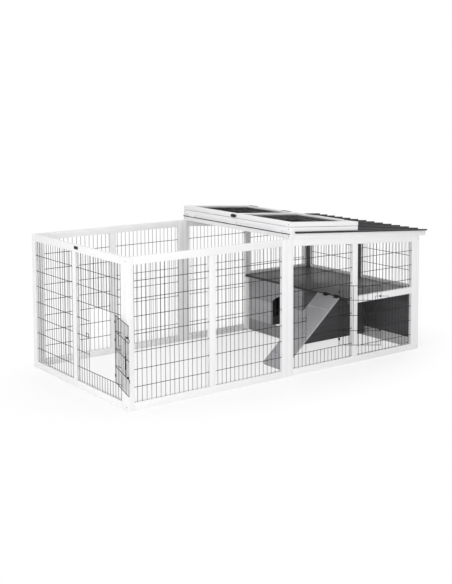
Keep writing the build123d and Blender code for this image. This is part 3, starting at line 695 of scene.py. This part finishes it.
# Places in a door's own frame, in metres.
FIRST_WIRE = 0.006
BOLT_OFF = -0.0067
BOLT_LOW = 0.192
BOLT_HIGH = 0.370
BOLT_REACH = 0.039
BOLT_BACK = 0.030
HOOK = 0.014
GRIP_LOW = 0.222
BOLT_WIRE = {"Wire radius": 0.0011, "Wire sides": 10, "Bend radius": 0.0012, "Material": HARDWARE_BLACK}
GRIP_COIL = {"Coil radius": 0.0024, "Coil length": 0.062, "Turns": 26.0, "Wire radius": 0.00075,
             "Material": HARDWARE_BLACK}


def door_place(joint, heading):
    """The door's own frame, with X from its hinge wire to its free edge."""
    at = Vector(JOINTS[joint]["pos_m"])
    at.z = CORNER.z
    return Matrix.Translation(at) @ Matrix.Rotation(math.radians(heading), 4, "Z")


def dress_door(door, heading, span):
    """A door's mesh, its bent bolt with a hook at each end, and the coil wound round its grip."""
    place = door_place(door + "_hinge", heading)
    round_mesh(door + "_mesh")
    last = span - FIRST_WIRE
    tip = last + BOLT_REACH
    bar = last - BOLT_BACK
    path = [
        (tip, BOLT_OFF, BOLT_LOW - HOOK),
        (tip, BOLT_OFF, BOLT_LOW),
        (bar, BOLT_OFF, BOLT_LOW),
        (bar, BOLT_OFF, BOLT_HIGH),
        (tip, BOLT_OFF, BOLT_HIGH),
        (tip, BOLT_OFF, BOLT_HIGH - HOOK),
    ]
    bolt = grow(line_mesh([[place @ Vector(p) for p in path]]), ROUND_WIRE, BOLT_WIRE)
    add_object(door + "_bolt_wire", bolt, BODY_OF[door + "_bolt"], (door + "_bolt",))
    seat = place @ Matrix.Translation((bar, BOLT_OFF, GRIP_LOW))
    coil = grow(line_mesh([[(0, 0, 0), (0, 0, 0.001)]]), WOUND_COIL, GRIP_COIL, seat)
    add_object(door + "_grip_coil", coil, BODY_OF[door + "_grip"], (door + "_grip",))


# Small hardware keeps its own solids and gets its finish

WHITE_HARDWARE = ("lid_hinge_fixed", "lid_hinge_moving")
BLACK_HARDWARE = (
    "catch_plate", "fold_hinge_lower", "fold_hinge_upper", "ramp_hinge_fixed", "ramp_hinge_moving",
    "turn_button", "turn_button_screw", "left_door_clips", "front_door_clips", "left_door_keeper",
    "front_door_keeper",
)


def finish_hardware():
    for nodes, finish in ((WHITE_HARDWARE, HARDWARE_WHITE), (BLACK_HARDWARE, HARDWARE_BLACK)):
        for node in nodes:
            store = NODES[node].data
            store.materials.clear()
            store.materials.append(finish)


# Screws

LEFT = Vector((-1, 0, 0))
RIGHT = Vector((1, 0, 0))
FRONT = Vector((0, -1, 0))
BACK = Vector((0, 1, 0))

# Heads are placed in mm from the frame's front left bottom corner.
FRAME_LENGTH = 1862
FRAME_DEPTH = 960
SUNK = 1.0
SCREW_INSET = 10
LID_SCREW_INSET = 12
RUN_SCREW_LEVELS = (17.5, 682.5)
HUTCH_SCREW_LEVELS = (17.5, 620.0)
HINGE_RAIL_SCREWS = (938, 712)
LID_SCREWS = (("upper_lid", 940.3, 770.9), ("lower_lid", 938.6, 747.5))
ROOF_SLOPE = math.atan(0.067)
LID_FACE = Vector((-math.cos(ROOF_SLOPE), 0, math.sin(ROOF_SLOPE)))

# In metres.
HEAD_RADIUS = 0.0038
HEAD_HALF = 0.0007


def screws(name, body, spots):
    """Heads at (place, facing) pairs on one body."""
    mesh = bpy.data.meshes.new(name + "_points")
    mesh.from_pydata([tuple(place + facing * HEAD_HALF) for place, facing in spots], [], [])
    facing_layer = mesh.attributes.new("facing", "FLOAT_VECTOR", "POINT")
    for i, (_, facing) in enumerate(spots):
        facing_layer.data[i].vector = facing
    values = {"Head radius": HEAD_RADIUS, "Material": SCREW_STEEL, "Recess shade material": SCREW_RECESS_SHADE}
    add_object(name, grow(mesh, SCREW_HEADS, values), body)


def build_screws():
    spots = []
    for z in RUN_SCREW_LEVELS:
        spots.append((from_corner(SUNK, SCREW_INSET, z), LEFT))
        spots.append((from_corner(SCREW_INSET, FRAME_DEPTH - SUNK, z), BACK))
    for z in HUTCH_SCREW_LEVELS:
        spots.append((from_corner(FRAME_LENGTH - SCREW_INSET, SUNK, z), FRONT))
        spots.append((from_corner(FRAME_LENGTH - SUNK, FRAME_DEPTH - SCREW_INSET, z), RIGHT))
    ends = (LID_SCREW_INSET, FRAME_DEPTH - LID_SCREW_INSET)
    x, z = HINGE_RAIL_SCREWS
    spots.extend((from_corner(x + SUNK, y, z), LEFT) for y in ends)
    screws("frame_screws", "hutch", spots)
    for body, x, z in LID_SCREWS:
        spots = [(from_corner(x, y, z) - LID_FACE * SUNK / 1000, LID_FACE) for y in ends]
        screws(body + "_screws", body, spots)


# Floor, light and camera

FLOOR_REACH = 12.0
FLOOR_DROP = 0.0005
SHADE_NEAR = 0.70
SHADE_FADE = (0.95, 1.5)
WORLD_LIGHT = 0.69

# Each lamp's name, place, target, width and power.
LAMPS = (
    ("key", (-4.8, -2.3, 1.0), (0.3, 0, 0.25), 3.0, 106),
    ("fill", (-0.4, -5.2, 0.9), (0.3, 0, 0.3), 3.2, 45),
    ("top", (0.0, -0.6, 4.4), (0, 0, 0), 3.5, 46),
)

# The photograph's view, fitted to the frame's edges and wires: lengths in pixels, place in mm.
PHOTO_HEIGHT = 584
PHOTO_MIDDLE = (226, 292)
OPTICAL_CENTRE = (260, 180)
FOCAL_LENGTH = 1036.4
SENSOR_WIDTH = 36.0
CAMERA_YAW = math.radians(37.636)
CAMERA_PITCH = math.radians(5.126)
CAMERA_PLACE = (-2307.6, -3963.4, 1454.9)


def floor_finish():
    """Pale floor that holds a soft shade by the hutch and goes to plain white further off."""
    finish = Finish("studio_floor")
    finish.shader.inputs["Base Color"].default_value = (0.92, 0.92, 0.92, 1)
    finish.shader.inputs["Roughness"].default_value = 0.9
    glow = finish.add("ShaderNodeEmission")
    glow.inputs["Strength"].default_value = 1.0
    reach = finish.add("ShaderNodeVectorMath", operation="LENGTH")
    finish.join(finish.stretched((1.0, 1.6, 1.0)), "Vector", reach, 0)
    fade = finish.add("ShaderNodeMapRange", interpolation_type="SMOOTHSTEP")
    finish.join(reach, "Value", fade, "Value")
    fade.inputs["From Min"].default_value = SHADE_FADE[0]
    fade.inputs["From Max"].default_value = SHADE_FADE[1]
    fade.inputs["To Min"].default_value = SHADE_NEAR
    fade.inputs["To Max"].default_value = 1.0
    path = finish.add("ShaderNodeLightPath")
    seen = finish.add("ShaderNodeMath", operation="MULTIPLY")
    finish.join(path, "Is Camera Ray", seen, 0)
    finish.join(fade, "Result", seen, 1)
    share = finish.add("ShaderNodeMixShader")
    finish.join(seen, "Value", share, "Fac")
    finish.join(finish.shader, "BSDF", share, 1)
    finish.join(glow, "Emission", share, 2)
    finish.join(share, "Shader", finish.out, "Surface")
    return finish.material


def build_stage():
    signs = ((-1, -1), (1, -1), (1, 1), (-1, 1))
    corners = [(x * FLOOR_REACH, y * FLOOR_REACH, -FLOOR_DROP) for x, y in signs]
    mesh = bpy.data.meshes.new("studio_floor")
    mesh.from_pydata(corners, [], [(0, 1, 2, 3)])
    mesh.materials.append(floor_finish())
    floor = bpy.data.objects.new("studio_floor", mesh)
    bpy.context.scene.collection.objects.link(floor)


def area_light(name, place, target, size, power):
    data = bpy.data.lights.new(name, "AREA")
    data.shape = "DISK"
    data.size = size
    data.energy = power
    lamp = bpy.data.objects.new(name, data)
    bpy.context.scene.collection.objects.link(lamp)
    lamp.location = place
    aim = Vector(target) - Vector(place)
    lamp.rotation_euler = aim.to_track_quat("-Z", "Y").to_euler()


def build_world():
    """Even light all round, shown as plain white to the camera and in reflections."""
    world = bpy.data.worlds.new("studio")
    bpy.context.scene.world = world
    world.use_nodes = True
    tree = world.node_tree
    tree.nodes.clear()
    out = tree.nodes.new("ShaderNodeOutputWorld")
    light = tree.nodes.new("ShaderNodeBackground")
    light.inputs["Color"].default_value = (1, 1, 1, 1)
    light.inputs["Strength"].default_value = WORLD_LIGHT
    shown = tree.nodes.new("ShaderNodeBackground")
    shown.inputs["Color"].default_value = (1, 1, 1, 1)
    shown.inputs["Strength"].default_value = 1.0
    path = tree.nodes.new("ShaderNodeLightPath")
    seen = tree.nodes.new("ShaderNodeMath")
    seen.operation = "MAXIMUM"
    tree.links.new(path.outputs["Is Camera Ray"], seen.inputs[0])
    tree.links.new(path.outputs["Is Glossy Ray"], seen.inputs[1])
    share = tree.nodes.new("ShaderNodeMixShader")
    tree.links.new(seen.outputs[0], share.inputs[0])
    tree.links.new(light.outputs[0], share.inputs[1])
    tree.links.new(shown.outputs[0], share.inputs[2])
    tree.links.new(share.outputs[0], out.inputs["Surface"])


def build_camera():
    level = math.cos(CAMERA_PITCH)
    ahead = Vector((math.sin(CAMERA_YAW) * level, math.cos(CAMERA_YAW) * level, -math.sin(CAMERA_PITCH)))
    right = Vector((math.cos(CAMERA_YAW), -math.sin(CAMERA_YAW), 0))
    above = right.cross(ahead)
    data = bpy.data.cameras.new("photo_camera")
    data.sensor_width = SENSOR_WIDTH
    data.lens = FOCAL_LENGTH / PHOTO_HEIGHT * SENSOR_WIDTH
    data.shift_x = (PHOTO_MIDDLE[0] - OPTICAL_CENTRE[0]) / PHOTO_HEIGHT
    data.shift_y = (OPTICAL_CENTRE[1] - PHOTO_MIDDLE[1]) / PHOTO_HEIGHT
    data.clip_end = 100
    camera = bpy.data.objects.new("photo_camera", data)
    bpy.context.scene.collection.objects.link(camera)
    turn = Matrix((right, above, -ahead)).transposed().to_4x4()
    camera.matrix_world = Matrix.Translation(from_corner(*CAMERA_PLACE)) @ turn
    bpy.context.scene.camera = camera


# Build

build_panels()
build_timbers()
for door, shut, opened, span in DOORS:
    dress_door(door, shut + opened, span)
finish_hardware()
build_screws()
build_stage()
for lamp in LAMPS:
    area_light(*lamp)
build_world()
build_camera()
bpy.context.scene.view_settings.view_transform = "Standard"
